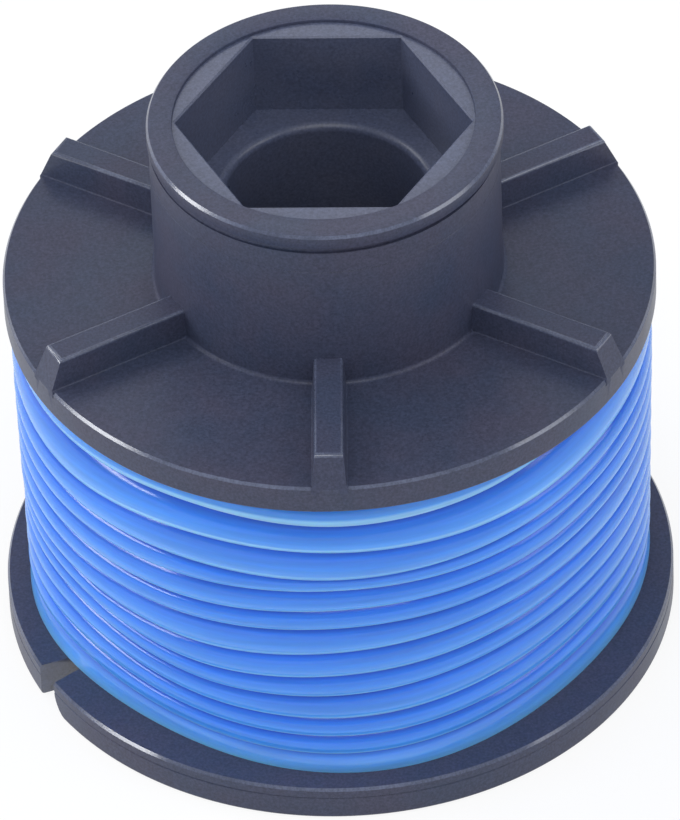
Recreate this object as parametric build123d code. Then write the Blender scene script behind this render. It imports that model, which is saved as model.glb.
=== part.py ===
from build123d import *
import os
from itertools import accumulate
from math import cos, pi, radians, sin, tan

# Trimmer line spool: one black plastic moulding wound with blue nylon line.
# The spool stands on its large flange. The origin is the middle of that flange's
# underside, +Z runs up the bore, and one rib of the upper flange points along -Y.

# Lower flange, the larger of the two
base_r = 19.0
base_t = 2.2

# Core under the line, and the clear width that it gives the line
core_r = 7.7
gap = 20.4

# Upper flange
cap_r = 18.2
cap_t = 1.8

# Broken outer edges of both flanges
edge_bevel = 0.25

# Hub above the upper flange, with a lip round its mouth and a groove under the lip
hub_r = 9.7
hub_h = 10.9
hub_foot_bevel = 0.4
lip_out = 0.2
lip_h = 0.9
lip_bevel = 0.25
groove_in = 0.15
groove_h = 0.45

# Round seat and hexagon drive socket in the hub's mouth
seat_r = 8.35
seat_depth = 0.2
socket_across_flats = 14.2
socket_depth = 5.3
socket_turn = -1.5
socket_chamfer = 0.15

# Round bore from the socket's floor to the underside
bore_r = 5.7
bore_mouth_bevel = 0.45

# Radial ribs on the upper flange; their sides have moulding draft, their outer ends lean inwards
# and their roots run into the hub
rib_count = 6
rib_h = 1.85
rib_top_w = 1.6
rib_draft = 4.0
rib_lean = 0.75
rib_bevel = 0.2
rib_root = 0.5

# V notch that holds the line's end, in the rim of the lower flange under one of the ribs
notch_angle = -151.0
notch_mouth = 1.65
notch_root = 0.4
notch_depth = 4.0
notch_flare = 1.5

# Line, wound in close turns from flange to flange: squarish over the lumpy layers low down and round
# from wound_round_h upwards. The turns lean up to the right, most of all at half height, and show
# unevenly: turn_widths are their shares of the gap, from the lower flange up
turn_widths = (1.5, 1.4, 1.5, 1.7, 1.4, 1.6, 1.8, 1.4, 1.6, 1.2, 1.8, 2.1, 1.5)
turn_lean = 4.0
turn_relief = 0.65
wound_low_r = 17.4
wound_high_r = 18.0
wound_round_h = 15.9
wound_lobe = 0.43
wound_lobe_count = 4
wound_lobe_angle = 5.4
wound_points = 16

# Room that a cutter has beyond the face it starts from
cut_over = 1.0

# Heights closer than this count as one
near = 0.001

# Heights that follow from the sizes above
cap_z = base_t + gap
cap_top = cap_z + cap_t
hub_top = cap_top + hub_h
seat_z = hub_top - seat_depth
socket_floor = seat_z - socket_depth


def disc(radius, bottom, height):
    """Cylinder on the spool's axis, from its bottom height upwards."""
    return Pos(0, 0, bottom) * Cylinder(radius, height, align=(Align.CENTER, Align.CENTER, Align.MIN))


def edges_at(solid, height):
    """Edges of a solid that lie flat at one height."""
    return solid.edges().filter_by_position(Axis.Z, height - near, height + near)


def rings_at(solid, height):
    """Round edges of a solid at one height, the smallest first."""
    return edges_at(solid, height).filter_by(GeomType.CIRCLE).sort_by(SortBy.RADIUS)


def flange(radius, bottom, thickness):
    """Flange with both outer edges broken."""
    blank = disc(radius, bottom, thickness)
    return chamfer(blank.edges().filter_by(GeomType.CIRCLE), edge_bevel)


def hub():
    """Hub with its lip and the groove under it."""
    lip = disc(hub_r + lip_out, hub_top - lip_h, lip_h)
    lip = chamfer(rings_at(lip, hub_top), lip_bevel)
    groove_z = hub_top - lip_h - groove_h
    neck = disc(hub_r - groove_in, groove_z, groove_h)
    barrel = disc(hub_r, cap_top, groove_z - cap_top)
    return barrel + neck + lip


def rib():
    """One rib along -Y, sunk into the flange and the hub so that they fuse."""
    foot_z = cap_top - edge_bevel
    crest_z = cap_top + rib_h
    half_top = rib_top_w / 2
    half_foot = half_top + (crest_z - foot_z) * tan(radians(rib_draft))
    section = make_face(
        Polyline(
            (-half_foot, foot_z), (half_foot, foot_z), (half_top, crest_z), (-half_top, crest_z), close=True
        )
    )
    start = hub_r - rib_root
    bar = extrude(Plane.XZ.offset(start) * section, cap_r - start)
    reach = Pos(0, 0, foot_z) * Cone(
        cap_r, cap_r - rib_lean, crest_z - foot_z, align=(Align.CENTER, Align.CENTER, Align.MIN)
    )
    block = bar & reach
    return chamfer(edges_at(block, crest_z), rib_bevel)


def socket():
    """Cutter for the round seat, the hexagon and the bore."""
    hexagon = RegularPolygon(socket_across_flats / 2, 6, major_radius=False, rotation=socket_turn)
    drive = extrude(Pos(0, 0, socket_floor) * hexagon, socket_depth)
    lead_in = extrude(Pos(0, 0, seat_z - socket_chamfer) * hexagon, socket_chamfer, taper=-45)
    seat = disc(seat_r, seat_z, seat_depth + cut_over)
    bore = disc(bore_r, -cut_over, socket_floor + 2 * cut_over)
    return drive + lead_in + seat + bore


def notch():
    """Cutter for the line notch along -Y: a V, with its right side rounded away towards the underside."""
    mouth_y = -base_r
    root_y = mouth_y + notch_depth
    slope = (notch_mouth - notch_root) / 2 / notch_depth
    outer_y = mouth_y - cut_over
    outer_half = notch_mouth / 2 + slope * cut_over
    root_half = notch_root / 2
    outline = make_face(
        Polyline(
            (-outer_half, outer_y),
            (outer_half, outer_y),
            (root_half, root_y),
            (-root_half, root_y),
            close=True,
        )
    )
    slot = extrude(Pos(0, 0, -cut_over) * outline, base_t + 2 * cut_over)
    wall = Line((0, notch_flare), (0, -cut_over))
    under = Line((0, -cut_over), (notch_flare, -cut_over))
    side = Line((notch_flare, -cut_over), (notch_flare, 0))
    curve = RadiusArc((notch_flare, 0), (0, notch_flare), notch_flare)
    cove = make_face(wall + under + side + curve)
    inward = Vector(root_half - outer_half, root_y - outer_y, 0)
    start = Plane((outer_half, outer_y, 0), x_dir=(inward.Y, -inward.X, 0), z_dir=inward.reverse())
    flare = extrude(start * cove, -inward.length)
    return Rot(0, 0, notch_angle + 90) * (slot + flare)


def spool_body():
    """The whole moulding."""
    body = flange(base_r, 0, base_t) + disc(core_r, 0, cap_top) + flange(cap_r, cap_z, cap_t) + hub()
    body = chamfer(rings_at(body, cap_top)[0], hub_foot_bevel)
    front_rib = rib()
    body += [Rot(0, 0, place * 360 / rib_count) * front_rib for place in range(rib_count)]
    body -= socket()
    body = chamfer(rings_at(body, socket_floor), bore_mouth_bevel)
    return body - notch()


def wound_section(height, inset):
    """Closed outline of the winding in a plane that leans, some way in from the crests of the turns."""
    rise = height - base_t
    roundness = min(rise / wound_round_h, 1)
    mean_r = wound_low_r + (wound_high_r - wound_low_r) * roundness - inset
    lobe = wound_lobe * (1 - roundness)
    slope = tan(radians(turn_lean)) * sin(pi * rise / gap)
    points = []
    for step in range(wound_points):
        angle = 2 * pi * step / wound_points
        radius = mean_r + lobe * cos(wound_lobe_count * (angle - radians(wound_lobe_angle)))
        x = radius * cos(angle)
        points.append((x, radius * sin(angle), height + slope * x))
    return make_face(Spline(points, periodic=True))


def line_winding():
    """All the turns of line as one ring, with a bevelled ridge for each turn."""
    stretch = gap / sum(turn_widths)
    grooves = [base_t + stretch * reach for reach in accumulate(turn_widths[:-1])]
    sections = [wound_section(base_t, 0)]
    for below, above in zip(grooves, grooves[1:]):
        sections.append(wound_section(below, turn_relief))
        sections.append(wound_section((below + above) / 2, 0))
    sections.append(wound_section(grooves[-1], turn_relief))
    sections.append(wound_section(cap_z, 0))
    return loft(sections, ruled=True) - disc(core_r, base_t, gap)


os.makedirs("parts", exist_ok=True)
export_step(spool_body(), "parts/spool_body.step")
export_step(line_winding(), "parts/line_winding.step")
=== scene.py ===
import math

import bpy
import numpy as np
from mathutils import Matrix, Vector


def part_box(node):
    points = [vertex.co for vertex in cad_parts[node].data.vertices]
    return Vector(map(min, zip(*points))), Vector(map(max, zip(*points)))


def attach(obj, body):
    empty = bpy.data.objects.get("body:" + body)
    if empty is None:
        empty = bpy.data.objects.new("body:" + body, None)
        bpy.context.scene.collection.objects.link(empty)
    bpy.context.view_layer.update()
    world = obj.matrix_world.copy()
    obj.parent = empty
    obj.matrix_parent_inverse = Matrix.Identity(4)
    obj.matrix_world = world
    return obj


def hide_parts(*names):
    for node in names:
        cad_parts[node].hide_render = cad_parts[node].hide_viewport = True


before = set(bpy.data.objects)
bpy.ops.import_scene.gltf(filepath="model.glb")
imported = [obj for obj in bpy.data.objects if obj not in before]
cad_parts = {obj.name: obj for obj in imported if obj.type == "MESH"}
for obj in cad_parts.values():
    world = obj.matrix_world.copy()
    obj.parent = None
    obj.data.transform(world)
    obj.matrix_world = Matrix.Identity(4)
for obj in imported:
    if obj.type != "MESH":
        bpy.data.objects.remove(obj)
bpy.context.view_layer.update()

# Spool moulding, its round body
# A single injection moulding of black polyamide: a wide lower flange, a core for the line, an upper
# flange and a tall hub with a lip. Half its section is drawn once and spun round the bore.
MM = 0.001
NEAR = 0.002 * MM
spool_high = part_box("spool_body")[1]
line_low, line_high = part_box("line_winding")
base_r = spool_high.x
base_top = line_low.z
cap_under = line_high.z
hub_top = spool_high.z
cap_r = 18.2 * MM
cap_top = cap_under + 1.8 * MM
core_r = 7.7 * MM
hub_r = 9.7 * MM
neck_r = hub_r - 0.09 * MM
lip_r = hub_r + 0.14 * MM
lip_z = hub_top - 0.9 * MM
neck_z = lip_z - 0.45 * MM
seat_r = 8.35 * MM
seat_z = hub_top - 0.2 * MM
bore_r = 5.7 * MM
parting_z = 0.68 * base_top
parting_step = 0.06 * MM
witness_z = neck_z - 1.4 * MM
witness_step = 0.03 * MM
edge_wide = 0.12 * MM
edge_high = 0.17 * MM
rubbed_highlight_slopes = (0.5, 0.65)
base_round = 0.2 * MM
cap_round = 0.15 * MM
hub_foot_round = 0.25 * MM
lip_round = 0.08 * MM
seat_round = 0.06 * MM
lip_shift = (0.06 * MM, -0.07 * MM, 0)
neck_shift = (-0.05 * MM, 0.05 * MM, 0)
rubbed_painted_highlight = 1
polished_painted_fill = 2
spin_steps = 240


def draw_outline(name, points):
    """Draws a closed outline by pulling one vertex from point to point."""
    bpy.ops.object.select_all(action="DESELECT")
    bpy.ops.mesh.primitive_plane_add(size=MM)
    piece = bpy.context.object
    piece.name = name
    piece.data.name = name
    bpy.ops.object.mode_set(mode="EDIT")
    bpy.ops.mesh.select_mode(type="VERT")
    bpy.ops.mesh.merge(type="CENTER")
    bpy.ops.transform.translate(value=points[0])
    for start, end in zip(points, points[1:] + points[:1]):
        step = [b - a for a, b in zip(start, end)]
        bpy.ops.mesh.extrude_region_move(TRANSFORM_OT_translate={"value": step})
    bpy.ops.mesh.select_all(action="SELECT")
    bpy.ops.mesh.remove_doubles(threshold=NEAR)
    bpy.ops.object.mode_set(mode="OBJECT")
    return piece


def from_axis(co):
    """Distance of a point from the bore's axis."""
    return math.hypot(co.x, co.y)


def pick_edges(piece, wanted):
    """Opens a piece for editing with only the edges picked whose two ends are wanted."""
    bpy.ops.object.select_all(action="DESELECT")
    bpy.context.view_layer.objects.active = piece
    piece.select_set(True)
    bpy.ops.object.mode_set(mode="EDIT")
    bpy.ops.mesh.select_mode(type="EDGE")
    bpy.ops.mesh.select_all(action="DESELECT")
    bpy.ops.object.mode_set(mode="OBJECT")
    corners = piece.data.vertices
    for edge in piece.data.edges:
        edge.select = all(wanted(corners[end].co) for end in edge.vertices)
    bpy.ops.object.mode_set(mode="EDIT")


def round_edges(piece, wanted, radius, segments=4, finish=-1):
    """Rounds the edges whose two ends are wanted, and gives the rounding its own finish if it has one."""
    pick_edges(piece, wanted)
    bpy.ops.mesh.bevel(
        offset=radius, segments=segments, profile=0.5, affect="EDGES", clamp_overlap=True, material=finish
    )
    bpy.ops.object.mode_set(mode="OBJECT")


def shift_edges(piece, wanted, shift):
    """Moves the edges whose two ends are wanted."""
    pick_edges(piece, wanted)
    bpy.ops.transform.translate(value=shift)
    bpy.ops.object.mode_set(mode="OBJECT")


def ring(radius, height):
    """Tells the points on one circle round the bore."""
    return lambda co: abs(from_axis(co) - radius) < NEAR and abs(co.z - height) < NEAR


half_section = [
    (bore_r, 0, 0),
    (base_r, 0, 0),
    (base_r, 0, parting_z - parting_step),
    (base_r - parting_step, 0, parting_z),
    (base_r, 0, parting_z + parting_step),
    (base_r, 0, base_top - edge_high),
    (base_r - edge_wide, 0, base_top),
    (core_r, 0, base_top),
    (core_r, 0, cap_under),
    (cap_r, 0, cap_under),
    (cap_r, 0, cap_top - edge_high),
    (cap_r - edge_wide, 0, cap_top),
    (hub_r, 0, cap_top),
    (hub_r, 0, witness_z - witness_step),
    (hub_r - witness_step, 0, witness_z),
    (hub_r, 0, witness_z + witness_step),
    (hub_r, 0, neck_z),
    (neck_r, 0, neck_z),
    (neck_r, 0, lip_z),
    (lip_r, 0, lip_z),
    (lip_r, 0, hub_top - edge_high),
    (lip_r - edge_wide, 0, hub_top),
    (seat_r, 0, hub_top),
    (seat_r, 0, seat_z),
    (bore_r, 0, seat_z),
]
spool = draw_outline("spool_moulding", half_section)
bpy.ops.object.mode_set(mode="EDIT")
bpy.ops.mesh.select_all(action="SELECT")
bpy.ops.mesh.spin(steps=spin_steps, angle=2 * math.pi, center=(0, 0, 0), axis=(0, 0, 1))
bpy.ops.mesh.select_all(action="SELECT")
bpy.ops.mesh.remove_doubles(threshold=NEAR)
bpy.ops.mesh.normals_make_consistent(inside=False)
bpy.ops.object.mode_set(mode="OBJECT")
for finish in ("moulded", "rubbed_painted_highlight", "polished_painted_fill"):
    spool.data.materials.append(None)
# The chamfers take the rubbed finish; its paler colour is partly a painted highlight along the edges.
for face in spool.data.polygons:
    if rubbed_highlight_slopes[0] < face.normal.z < rubbed_highlight_slopes[1]:
        face.material_index = rubbed_painted_highlight
round_edges(spool, ring(base_r, 0), base_round)
round_edges(spool, ring(cap_r, cap_under), cap_round)
round_edges(spool, ring(hub_r, cap_top), hub_foot_round)
round_edges(spool, ring(lip_r, lip_z), lip_round, 2)
round_edges(spool, ring(seat_r, hub_top), seat_round, 2)
shift_edges(spool, lambda co: co.z > lip_z - NEAR and from_axis(co) > hub_r + NEAR, lip_shift)
shift_edges(spool, lambda co: co.z > neck_z - NEAR and abs(from_axis(co) - neck_r) < NEAR, neck_shift)

# Hexagon drive socket
# The core pin of the mould leaves a hexagon in the hub's mouth, with a broken edge, a flat floor and
# a well-rounded step down into the bore.
socket_floor = hub_top - 5.5 * MM
socket_flats = 14.2 * MM
socket_sides = 6
socket_half_side = math.pi / socket_sides
socket_turn = math.radians(-1.5)
socket_break = 0.1 * MM
bore_mouth_round = 0.45 * MM
bore_end_round = 0.3 * MM
cut_over = 1.0 * MM


def apply_modifier(piece, kind, **settings):
    """Adds one modifier to a piece with its settings, and applies it."""
    bpy.ops.object.select_all(action="DESELECT")
    bpy.context.view_layer.objects.active = piece
    piece.select_set(True)
    bpy.ops.object.modifier_add(type=kind)
    modifier = piece.modifiers[-1]
    for setting, value in settings.items():
        setattr(modifier, setting, value)
    bpy.ops.object.modifier_apply(modifier=modifier.name)


def combine(piece, tool, operation):
    """Cuts a tool out of a piece or joins it on, and throws the tool away."""
    apply_modifier(piece, "BOOLEAN", operation=operation, solver="EXACT", object=tool)
    bpy.data.objects.remove(tool)


bpy.ops.object.select_all(action="DESELECT")
bpy.ops.mesh.primitive_cylinder_add(
    vertices=socket_sides,
    radius=socket_flats / 2 / math.cos(socket_half_side),
    depth=hub_top + cut_over - socket_floor,
    location=(0, 0, (hub_top + cut_over + socket_floor) / 2),
    rotation=(0, 0, socket_turn + socket_half_side),
)
combine(spool, bpy.context.object, "DIFFERENCE")


def on_socket_mouth(co):
    """Tells the points on the hexagon's edge in the round seat."""
    return abs(co.z - seat_z) < NEAR and from_axis(co) < seat_r - NEAR


round_edges(spool, on_socket_mouth, socket_break, 1)
round_edges(spool, ring(bore_r, socket_floor), bore_mouth_round)
round_edges(spool, ring(bore_r, 0), bore_end_round)
# The seat, socket and bore take the polished finish, painted paler to lift the shade in the recess.
for face in spool.data.polygons:
    if face.center.z > 0 and from_axis(face.center) < seat_r - NEAR:
        face.material_index = polished_painted_fill

# Ribs on the upper flange
# Six radial ribs stiffen the upper flange and carry the hub. Their walls have draft, their outer ends
# stand flush with the rim and lean inwards, and their crests and ends are softly rounded.
rib_count = 6
rib_h = 1.85 * MM
rib_half_top = 0.8 * MM
rib_half_foot = 0.93 * MM
rib_foot_round = 0.1 * MM
rib_foot_sunk = 0.1
rib_foot_steps = 3
rib_sink = 0.4 * MM
rib_lean = 0.75 * MM
rib_root = hub_r - 0.5 * MM
rib_end = cap_r - 0.01 * MM
rib_end_near = 0.02 * MM
rib_crest = cap_top + rib_h
rib_crest_round = 0.15 * MM
rib_end_round = 0.1 * MM


def quarter_turn(steps):
    """Angles of a quarter turn in even steps."""
    return [math.pi / 2 * step / steps for step in range(steps + 1)]


def extrude_outline(piece, length):
    """Fills a drawn outline and pulls it along +Y into a closed block."""
    pick_edges(piece, lambda co: True)
    bpy.ops.mesh.edge_face_add()
    bpy.ops.mesh.extrude_region_move(TRANSFORM_OT_translate={"value": (0, length, 0)})
    bpy.ops.mesh.select_all(action="SELECT")
    bpy.ops.mesh.normals_make_consistent(inside=False)
    bpy.ops.object.mode_set(mode="OBJECT")


rib_side = [(rib_half_foot + rib_foot_round, cap_top - rib_sink)]
for angle in quarter_turn(rib_foot_steps):
    foot_x = rib_half_foot + rib_foot_round * (1 - math.sin(angle))
    foot_z = cap_top + rib_foot_round * (1 - rib_foot_sunk - math.cos(angle))
    rib_side.append((foot_x, foot_z))
rib_side.append((rib_half_top, rib_crest))
rib_section = rib_side + [(-x, z) for x, z in reversed(rib_side)]
rib = draw_outline("rib", [(x, -rib_end, z) for x, z in rib_section])
for finish in ("moulded", "rubbed_painted_highlight"):
    rib.data.materials.append(None)
extrude_outline(rib, rib_end - rib_root)
for corner in rib.data.vertices:
    if corner.co.y < -rib_end + NEAR:
        corner.co.y += rib_lean * max(corner.co.z - cap_top, 0) / rib_h


def on_rib_end(co):
    """Tells the points of a rib's outer end above its rounded foot."""
    return co.z > cap_top + rib_foot_round - NEAR and co.y < -rib_end + rib_lean + rib_end_near


# Crests and ends take the rubbed finish, whose paler colour is partly a painted highlight.
round_edges(rib, lambda co: co.z > rib_crest - NEAR, rib_crest_round, 3, rubbed_painted_highlight)
round_edges(rib, on_rib_end, rib_end_round, 2, rubbed_painted_highlight)
for number in range(rib_count):
    bpy.ops.object.select_all(action="DESELECT")
    turned = rib.copy()
    turned.data = rib.data.copy()
    bpy.context.collection.objects.link(turned)
    turned.rotation_euler = (0, 0, math.tau * number / rib_count)
    combine(spool, turned, "UNION")
bpy.data.objects.remove(rib)

# Line notch
# A V in the rim of the lower flange grips the line's end. One of its sides is rounded away towards the
# underside, so that the line can be pulled in without a sharp edge.
notch_bearing = math.radians(-151)
notch_depth = 4.0 * MM
notch_mouth = 1.65 * MM
notch_root = 0.4 * MM
notch_flare = 1.5 * MM
flare_steps = 8
spool_smooth = math.radians(32)
face_weight = 80

notch_slope = (notch_mouth - notch_root) / 2 / notch_depth
notch_half = notch_mouth / 2 + notch_slope * cut_over
narrowing = notch_half - notch_root / 2
outer_y = -base_r - cut_over
root_y = -base_r + notch_depth
notch_top = base_top + cut_over
notch_section = [(-notch_half, -cut_over), (-notch_half, notch_top), (notch_half, notch_top)]
for angle in quarter_turn(flare_steps):
    flare_x = notch_half + notch_flare * (1 - math.cos(angle))
    flare_z = notch_flare * (1 - math.sin(angle))
    notch_section.append((flare_x, flare_z))
notch_section.append((notch_half + notch_flare, -cut_over))
notch = draw_outline("notch_cutter", [(x, outer_y, z) for x, z in notch_section])
extrude_outline(notch, root_y - outer_y)
for corner in notch.data.vertices:
    if corner.co.y > root_y - NEAR:
        corner.co.x -= math.copysign(narrowing, corner.co.x)
for finish in ("moulded", "rubbed_painted_highlight"):
    notch.data.materials.append(None)
# The notch's faces take the rubbed finish, whose paler colour is partly a painted highlight.
for face in notch.data.polygons:
    face.material_index = rubbed_painted_highlight
notch.rotation_euler = (0, 0, notch_bearing + math.pi / 2)
combine(spool, notch, "DIFFERENCE")
pick_edges(spool, lambda co: True)
bpy.ops.mesh.remove_doubles(threshold=NEAR)
bpy.ops.mesh.dissolve_degenerate(threshold=NEAR)
bpy.ops.object.mode_set(mode="OBJECT")
bpy.ops.object.shade_smooth_by_angle(angle=spool_smooth)
apply_modifier(spool, "WEIGHTED_NORMAL", keep_sharp=True, weight=face_weight)

# Black polyamide, injection moulded against a lightly spark-eroded steel mould: blue-black and satin, with
# a fine speckled grain, and faint blue and violet clouds from the flow of the melt.
grain_size = 0.16 * MM
cloud_size = 5.0 * MM
grain_relief = 0.02 * MM
polyamide_ior = 1.53


def linear(hex_colour):
    """An sRGB colour such as 3a4b5c as linear red, green, blue and alpha."""
    shares = [int(hex_colour[i:i + 2], 16) / 255 for i in (0, 2, 4)]
    return [s / 12.92 if s <= 0.04045 else ((s + 0.055) / 1.055) ** 2.4 for s in shares] + [1.0]


def add_node(tree, kind, inputs=None, **settings):
    """Adds one node; an input is a value, or an output socket to link from."""
    node = tree.nodes.new(kind)
    for setting, value in settings.items():
        setattr(node, setting, value)
    for key, value in (inputs or {}).items():
        if isinstance(value, bpy.types.NodeSocket):
            tree.links.new(value, node.inputs[key])
        else:
            node.inputs[key].default_value = value
    return node


def polyamide(name, cool, warm, roughness, shine):
    """Polyamide between two tints, with its mean roughness and its shine."""
    material = bpy.data.materials.new(name)
    material.use_nodes = True
    tree = material.node_tree
    shader = tree.nodes["Principled BSDF"]
    place = add_node(tree, "ShaderNodeTexCoord").outputs["Object"]
    clouds = add_node(
        tree, "ShaderNodeTexNoise",
        {"Vector": place, "Scale": 1 / cloud_size, "Detail": 5.0, "Roughness": 0.6},
    )
    grain = add_node(
        tree, "ShaderNodeTexNoise",
        {"Vector": place, "Scale": 1 / grain_size, "Detail": 3.0, "Roughness": 0.65},
    )
    drift = add_node(
        tree, "ShaderNodeMapRange",
        {"Value": clouds.outputs["Fac"], "From Min": 0.36, "From Max": 0.64},
    )
    tint = add_node(
        tree, "ShaderNodeMix",
        {"Factor": drift.outputs["Result"], "A": linear(cool), "B": linear(warm)},
        data_type="RGBA",
    )
    speckle = add_node(
        tree, "ShaderNodeMapRange",
        {"Value": grain.outputs["Fac"], "From Min": 0.3, "From Max": 0.7,
         "To Min": 0.74, "To Max": 1.26},
    )
    speckled = add_node(
        tree, "ShaderNodeVectorMath",
        {"Vector": tint.outputs["Result"], "Scale": speckle.outputs["Result"]},
        operation="SCALE",
    )
    tree.links.new(speckled.outputs["Vector"], shader.inputs["Base Color"])
    satin = add_node(
        tree, "ShaderNodeMapRange",
        {"Value": clouds.outputs["Fac"], "From Min": 0.3, "From Max": 0.7,
         "To Min": roughness - 0.05, "To Max": roughness + 0.05},
    )
    tree.links.new(satin.outputs["Result"], shader.inputs["Roughness"])
    relief = add_node(
        tree, "ShaderNodeBump",
        {"Height": grain.outputs["Fac"], "Strength": 0.1, "Distance": grain_relief},
    )
    tree.links.new(relief.outputs["Normal"], shader.inputs["Normal"])
    shader.inputs["IOR"].default_value = polyamide_ior
    shader.inputs["Specular IOR Level"].default_value = shine
    return material


spool.data.materials[0] = polyamide("black_polyamide_moulded", "3f465b", "46475a", 0.38, 0.25)

# The same polyamide where handling has rubbed its edges: smoother and shinier than the rest, and paler,
# partly from wear and partly as a painted highlight.
spool.data.materials[rubbed_painted_highlight] = polyamide("black_polyamide_rubbed_painted_highlight", "454b60", "5c6278", 0.14, 1.0)

# And where the polished core pin formed it, in seat, socket and bore: smoother, and paler as a painted
# light that lifts the shade in these recesses.
spool.data.materials[polished_painted_fill] = polyamide("black_polyamide_polished_painted_fill", "4f566d", "565a6e", 0.3, 0.4)
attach(spool, "root")
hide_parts("spool_body")

# Wound line
# Extruded nylon trimmer line, wound in close turns over several layers of itself. The outer layer is one
# ribbon with the line's round back, laid from turn to turn, and it dives under both flanges.
line_r = 0.8 * MM
bearings = [-149, -119, -89, -59, -29]
groove_heights = [
    (0.0, 0.2, 0.4, 0.5, 0.6),
    (1.2, 1.2, 1.2, 1.3, 1.4),
    (3.8, 3.3, 3.4, 3.8, 4.1),
    (5.2, 4.6, 4.8, 5.2, 5.6),
    (6.8, 5.9, 6.2, 6.8, 7.3),
    (8.3, 7.3, 8.0, 8.8, 9.0),
    (9.4, 8.5, 9.6, 10.2, 10.8),
    (10.5, 10.2, 11.4, 12.0, 12.2),
    (11.9, 12.3, 13.3, 13.5, 14.2),
    (13.4, 13.7, 14.7, 14.8, 15.4),
    (15.0, 15.5, 16.2, 16.2, 17.1),
    (16.5, 17.0, 16.9, 17.3, 18.4),
    (18.2, 19.2, 19.0, 18.9, 19.8),
    (20.8, 21.1, 20.7, 21.1, 22.5),
    (22.8, 22.8, 22.7, 23.2, 24.2),
    (24.8, 24.8, 24.8, 25.0, 25.4),
]
turns = len(groove_heights) - 1
turn_steps = 240
across_steps = 12
wander_window = 40
full_r = 17.94 * MM
lump = 0.43 * MM
lump_mean = 17.27 * MM
lump_bearing = 5.4
lump_top = 18.1 * MM
usual_bulge = 0.32 * MM
steepest = 0.79
tuck = 1.4 * MM
tuck_h = 2.2 * MM
tuck_bearing = -98
line_smooth = math.radians(50)

knots = [360 * turn + bearing for turn in range(turns + 1) for bearing in bearings]
heights = [height * MM for row in groove_heights for height in row]
step_angle = 360 / turn_steps
angles = np.arange(knots[0], knots[-1] + step_angle, step_angle)
window = np.hanning(round(wander_window / step_angle))
padded = np.pad(np.interp(angles, knots, heights), len(window), mode="edge")
groove_line = np.convolve(padded, window / window.sum(), mode="same")[len(window):-len(window)]
strip_steps = len(angles) - turn_steps - 1


def crest_radius(angle, height):
    """Radius that the turns reach: squarish over the lumpy inner layers below, nearly round above."""
    low = lump_mean + lump * math.cos(math.radians(4 * (angle - lump_bearing)))
    share = min(max((lump_top - height) / (lump_top - base_top), 0), 1)
    tucked = max(math.cos(math.radians(angle - tuck_bearing)), 0) ** 2 * tuck
    return full_r + (low - full_r) * share - tucked * min(max((height - cap_under) / tuck_h + 1, 0), 1)


def line_surface(step, across):
    """Point on the winding, at a step along the line and from 0 to 1 across it."""
    angle = angles[step]
    below = groove_line[step]
    above = groove_line[step + turn_steps]
    half = (above - below) / 2
    rise = min(half / line_r, steepest)
    lean = (2 * across - 1) * math.asin(rise)
    height = below + half + half * math.sin(lean) / rise
    groove_r = crest_radius(angle, below) * (1 - across) + crest_radius(angle, above) * across - usual_bulge
    radius = groove_r + line_r * (math.cos(lean) - math.sqrt(1 - rise * rise))
    turn = math.radians(angle)
    return radius * math.cos(turn), radius * math.sin(turn), height


bpy.ops.object.select_all(action="DESELECT")
bpy.ops.mesh.primitive_grid_add(x_subdivisions=strip_steps, y_subdivisions=across_steps, size=2)
line = bpy.context.object
line.name = "wound_line"
line.data.name = "wound_line"
for corner in line.data.vertices:
    step = round((corner.co.x + 1) / 2 * strip_steps)
    corner.co = line_surface(step, (corner.co.y + 1) / 2)
bpy.ops.object.mode_set(mode="EDIT")
bpy.ops.mesh.select_all(action="SELECT")
bpy.ops.mesh.remove_doubles(threshold=NEAR)
for cut_z, away in ((base_top, -1), (cap_under, 1)):
    bpy.ops.mesh.select_all(action="SELECT")
    bpy.ops.mesh.bisect(
        plane_co=(0, 0, cut_z), plane_no=(0, 0, away), clear_outer=True, threshold=NEAR
    )
bpy.ops.object.mode_set(mode="OBJECT")
for cut_z in (base_top, cap_under):
    pick_edges(line, lambda co: abs(co.z - cut_z) < NEAR)
    bpy.ops.mesh.extrude_edges_move()
    bpy.ops.object.mode_set(mode="OBJECT")
    for corner in line.data.vertices:
        if corner.select:
            reach = from_axis(corner.co)
            corner.co.x *= core_r / reach
            corner.co.y *= core_r / reach
pick_edges(line, lambda co: from_axis(co) < core_r + NEAR)
bpy.ops.mesh.bridge_edge_loops()
bpy.ops.mesh.select_all(action="SELECT")
bpy.ops.mesh.normals_make_consistent(inside=False)
bpy.ops.object.mode_set(mode="OBJECT")
bpy.ops.object.shade_smooth_by_angle(angle=line_smooth)

# Blue nylon monofilament, extruded: glossy and a little see-through. The light and shade across each turn
# are
# painted: pale along the lower side of each turn and a deeper blue on its upper side. The lowest turn is
# painted paler towards the lower flange as a painted glow, and the die leaves faint streaks.
line_length = turns * math.tau * full_r
streak_length = 9.0 * MM
streak_count = 5
painted_glow_h = 1.7 * MM
nylon = bpy.data.materials.new("blue_nylon_extruded")
nylon.use_nodes = True
tree = nylon.node_tree
shader = tree.nodes["Principled BSDF"]
ribbon = add_node(tree, "ShaderNodeUVMap").outputs["UV"]
parts = add_node(tree, "ShaderNodeSeparateXYZ", {"Vector": ribbon})
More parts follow.
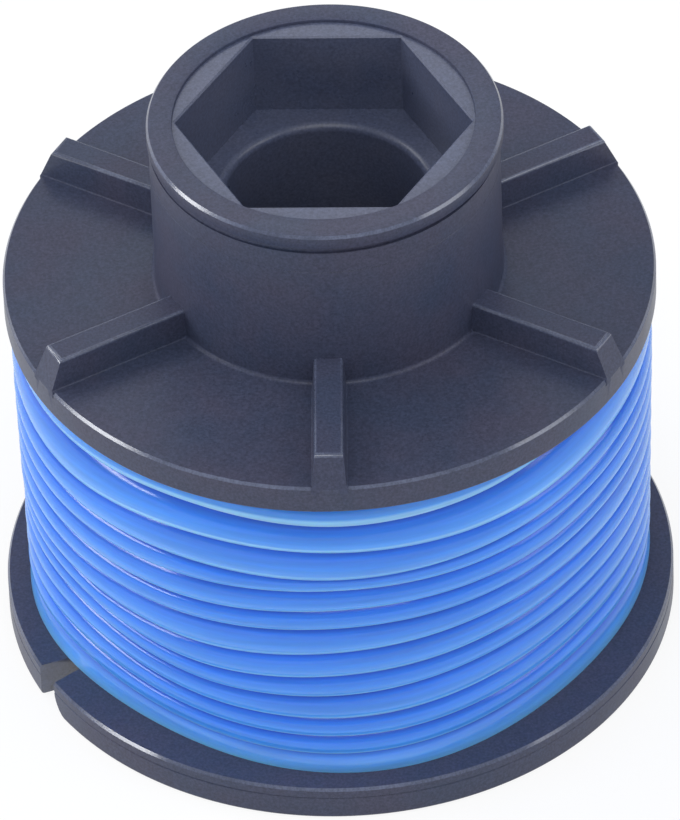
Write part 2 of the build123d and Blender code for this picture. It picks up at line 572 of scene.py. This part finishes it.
# Painted light and shade across each turn: pale on the lower side, deep blue on the upper side.
across = add_node(tree, "ShaderNodeValToRGB", {"Fac": parts.outputs["Y"]})
painted_shading_ramp = across.color_ramp
painted_shading_ramp.elements[0].color = linear("9cd6ff")
painted_shading_ramp.elements[1].color = linear("2057cc")
for share, colour in ((0.17, "90ceff"), (0.25, "4a9ef6"), (0.5, "358cec"), (0.86, "2c78e4")):
    painted_shading_ramp.elements.new(share).color = linear(colour)
place = add_node(tree, "ShaderNodeTexCoord").outputs["Object"]
level = add_node(tree, "ShaderNodeSeparateXYZ", {"Vector": place})
# Painted light: the colour is mixed towards pale blue near the lower flange, so that the lowest turn looks
# lit.
painted_glow_share = add_node(
    tree, "ShaderNodeMapRange",
    {"Value": level.outputs["Z"], "From Min": base_top, "From Max": base_top + painted_glow_h,
     "To Min": 0.75, "To Max": 0.0},
)
painted_glow_mix = add_node(
    tree, "ShaderNodeMix",
    {"Factor": painted_glow_share.outputs["Result"], "A": across.outputs["Color"], "B": linear("7cc0ff")},
    data_type="RGBA",
)
lengths = add_node(
    tree, "ShaderNodeVectorMath", {0: ribbon, 1: (line_length / streak_length, streak_count, 1)},
    operation="MULTIPLY",
)
streaks = add_node(
    tree, "ShaderNodeTexNoise", {"Vector": lengths.outputs["Vector"], "Scale": 1.0, "Detail": 3.0}
)
depth = add_node(
    tree, "ShaderNodeMapRange",
    {"Value": streaks.outputs["Fac"], "From Min": 0.3, "From Max": 0.7,
     "To Min": 0.88, "To Max": 1.12},
)
streaked = add_node(
    tree, "ShaderNodeVectorMath",
    {"Vector": painted_glow_mix.outputs["Result"], "Scale": depth.outputs["Result"]},
    operation="SCALE",
)
tree.links.new(streaked.outputs["Vector"], shader.inputs["Base Color"])
shader.inputs["Roughness"].default_value = 0.15
shader.inputs["IOR"].default_value = 1.53
shader.inputs["Specular IOR Level"].default_value = 0.6
shader.inputs["Subsurface Weight"].default_value = 0.6
shader.inputs["Subsurface Radius"].default_value = (0.25, 0.5, 1.0)
shader.inputs["Subsurface Scale"].default_value = 0.5 * MM
shader.inputs["Sheen Weight"].default_value = 0.5
shader.inputs["Sheen Roughness"].default_value = 0.5
shader.inputs["Sheen Tint"].default_value = linear("86c8ff")
line.data.materials.append(nylon)
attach(line, "root")
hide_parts("line_winding")

# Floor
# A white table top, which shows white to the eye and in reflections and keeps the spool's soft shadow.
floor_size = 3
floor_drop = 0.02 * MM

bpy.ops.object.select_all(action="DESELECT")
bpy.ops.mesh.primitive_plane_add(size=floor_size, location=(0, 0, -floor_drop))
floor = bpy.context.object
floor.name = "floor"
table = bpy.data.materials.new("white_table")
table.use_nodes = True
tree = table.node_tree
tree.nodes.clear()
path = add_node(tree, "ShaderNodeLightPath")
seen = path.outputs["Is Camera Ray"]
for ray in ("Is Glossy Ray", "Is Transmission Ray"):
    seen = add_node(tree, "ShaderNodeMath", {0: seen, 1: path.outputs[ray]}, operation="MAXIMUM").outputs[0]
lit = add_node(tree, "ShaderNodeBsdfDiffuse", {"Color": linear("f2f2f2")})
glow = add_node(tree, "ShaderNodeEmission", {"Color": linear("ffffff"), "Strength": 1.04})
shown = add_node(tree, "ShaderNodeMixShader", {0: 0.18, 1: glow.outputs[0], 2: lit.outputs[0]})
top = add_node(tree, "ShaderNodeMixShader", {0: seen, 1: lit.outputs[0], 2: shown.outputs[0]})
add_node(tree, "ShaderNodeOutputMaterial", {"Surface": top.outputs[0]})
floor.data.materials.append(table)

# Light
# A pale room and soft boxes round the spool: the one in front stands high and lights the recesses, a low
# one at the left draws the gleam along the line, and a small one close behind greys the level faces.
world = bpy.data.worlds.new("pale_room")
bpy.context.scene.world = world
world.use_nodes = True
tree = world.node_tree
tree.nodes.clear()
path = add_node(tree, "ShaderNodeLightPath")
room = add_node(tree, "ShaderNodeBackground", {"Color": linear("ecf2ff"), "Strength": 0.5})
white = add_node(tree, "ShaderNodeBackground", {"Color": linear("ffffff"), "Strength": 1.0})
behind = add_node(
    tree, "ShaderNodeMixShader",
    {0: path.outputs["Is Camera Ray"], 1: room.outputs[0], 2: white.outputs[0]},
)
add_node(tree, "ShaderNodeOutputWorld", {"Surface": behind.outputs[0]})


def soft_box(name, bearing, elevation, width, height, power, distance=0.45):
    """Lamp that looks at the spool from a bearing and an elevation in degrees."""
    bearing = math.radians(bearing)
    elevation = math.radians(elevation)
    bpy.ops.object.light_add(
        type="AREA",
        location=(
            distance * math.cos(elevation) * math.cos(bearing),
            distance * math.cos(elevation) * math.sin(bearing),
            distance * math.sin(elevation),
        ),
        rotation=(math.pi / 2 - elevation, 0, bearing + math.pi / 2),
    )
    lamp = bpy.context.object
    lamp.name = name
    lamp.data.shape = "RECTANGLE"
    lamp.data.size = width
    lamp.data.size_y = height
    lamp.data.energy = power


soft_box("left_box", -172, 38, width=0.2, height=0.2, power=0.08)
soft_box("low_box", -175, 17, width=0.42, height=0.055, power=0.62)
soft_box("right_box", -12, 35, width=0.3, height=0.3, power=0.5)
soft_box("front_box", -90, 60, width=0.3, height=0.3, power=0.54)
soft_box("back_box", 155, 42, width=0.2, height=0.2, power=0.4)
soft_box("near_box", 95, 56, width=0.035, height=0.035, power=0.005, distance=0.09)

# Camera
# A long lens that looks down on the spool from the front.
view_elevation = math.radians(42.48)
view_bearing = math.radians(1.4)
view_roll = math.radians(-2.22)
view_distance = 605.5 * MM
view_height = 13.52 * MM
bpy.ops.object.camera_add(
    location=(
        view_distance * math.cos(view_elevation) * math.sin(view_bearing),
        -view_distance * math.cos(view_elevation) * math.cos(view_bearing),
        view_height + view_distance * math.sin(view_elevation),
    ),
    rotation=(math.pi / 2 - view_elevation, 0, view_bearing),
)
camera = bpy.context.object
camera.rotation_euler.rotate_axis("Z", view_roll)
camera.data.sensor_width = 36
camera.data.lens = 471.65
camera.data.shift_x = 0.0065
bpy.context.scene.camera = camera
bpy.context.scene.view_settings.view_transform = "Standard"
